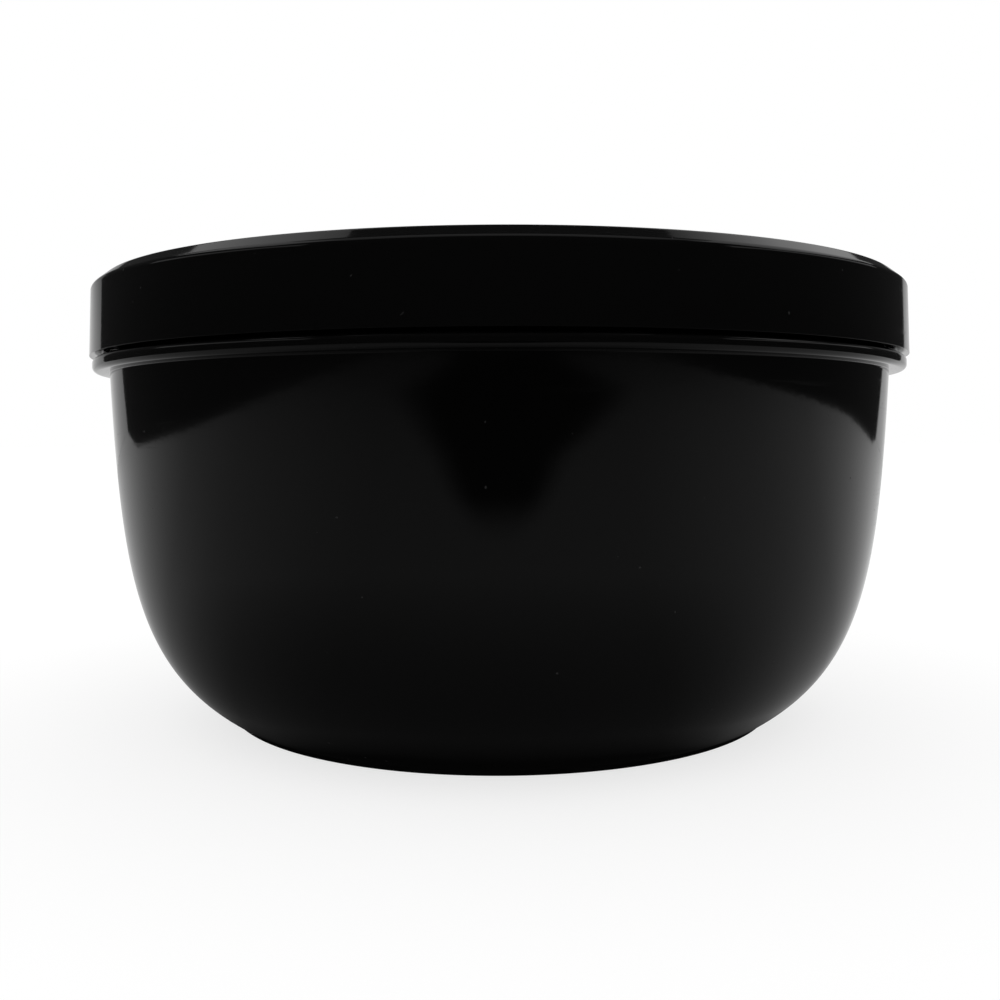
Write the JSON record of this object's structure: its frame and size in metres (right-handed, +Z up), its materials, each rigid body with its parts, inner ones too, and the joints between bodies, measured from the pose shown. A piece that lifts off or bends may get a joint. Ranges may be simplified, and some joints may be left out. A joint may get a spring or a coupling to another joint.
{
  "type": "hair colour mixing bowl with lid",
  "caption": "Round glossy plastic mixing bowl with a flanged mouth, a screw-on lid with a seal, and a non-slip foot ring.",
  "frame": {"origin": "on the bowl's axis, on the surface that the foot ring stands on", "axes": "+Z up along the bowl's axis, through the middle of the lid; the object is round, so X and Y are free"},
  "size_m": [0.13, 0.13, 0.0684],
  "materials": {
    "bowl_plastic": "moulded, polished black",
    "foot_rubber": "soft matte black",
    "lid_plastic": "moulded, polished black",
    "seal_silicone": "soft translucent white silicone"
  },
  "bodies": {
    "bowl": {"bowl": "bowl_plastic", "foot_ring": "foot_rubber"},
    "seal": {"lid_seal": "seal_silicone"},
    "lid": {"lid": "lid_plastic"}
  },
  "joints": [
    {"name": "lid_rise", "type": "slide", "parent": "bowl", "child": "seal", "axis": [0, 0, 1], "range_m": [0, 0.0321]},
    {"name": "lid_turn", "type": "hinge", "parent": "seal", "child": "lid", "pos_m": [0, 0, 0.0684], "axis": [0, 0, 1], "range_deg": [0, 720]}
  ],
  "couplings": [
    {"joint": "lid_rise", "follows": "lid_turn", "m_per_rad": 0.0025465}
  ]
}
